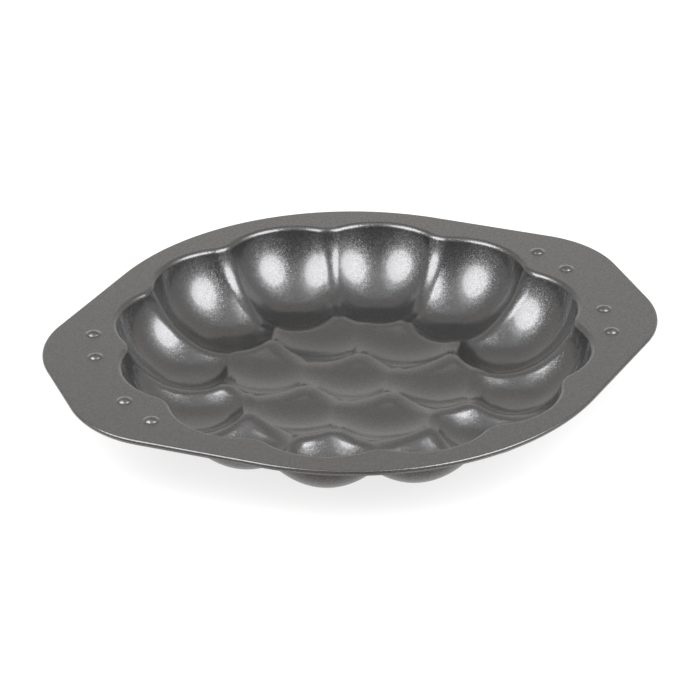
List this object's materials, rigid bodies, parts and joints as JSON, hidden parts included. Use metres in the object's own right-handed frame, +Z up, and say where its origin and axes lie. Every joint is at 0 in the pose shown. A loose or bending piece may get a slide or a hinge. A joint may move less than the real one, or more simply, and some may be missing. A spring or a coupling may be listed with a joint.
{
  "type": "shaped cake pan",
  "caption": "Shallow oval-eared baking pan pressed from coated steel sheet, with a flower of round cups for a pull-apart cake or bread and a flat flange with a hemmed edge.",
  "frame": {"origin": "centre of the base, on the plane that the cup bottoms rest on", "axes": "+Z up out of the cavity, X from ear to ear, Y across the pan; the pan is symmetric in X and in Y"},
  "size_m": [0.36, 0.313, 0.043],
  "materials": {
    "nonstick_steel": "dark grey non-stick coating with a fine metallic grain, satin"
  },
  "bodies": {
    "root": {"cup_centre": "nonstick_steel", "cup_inner_1": "nonstick_steel", "cup_inner_2": "nonstick_steel", "cup_inner_3": "nonstick_steel", "cup_inner_4": "nonstick_steel", "cup_inner_5": "nonstick_steel", "cup_inner_6": "nonstick_steel", "cup_outer_1": "nonstick_steel", "cup_outer_2": "nonstick_steel", "cup_outer_3": "nonstick_steel", "cup_outer_4": "nonstick_steel", "cup_outer_5": "nonstick_steel", "cup_outer_6": "nonstick_steel", "cup_outer_7": "nonstick_steel", "cup_outer_8": "nonstick_steel", "cup_outer_9": "nonstick_steel", "cup_outer_10": "nonstick_steel", "cup_outer_11": "nonstick_steel", "cup_outer_12": "nonstick_steel", "flange_back": "nonstick_steel", "flange_front": "nonstick_steel", "ear_left": "nonstick_steel", "ear_right": "nonstick_steel", "hem_back": "nonstick_steel", "hem_front": "nonstick_steel", "hem_left": "nonstick_steel", "hem_right": "nonstick_steel", "grip_bumps_left": "nonstick_steel", "grip_bumps_right": "nonstick_steel"}
  },
  "joints": []
}
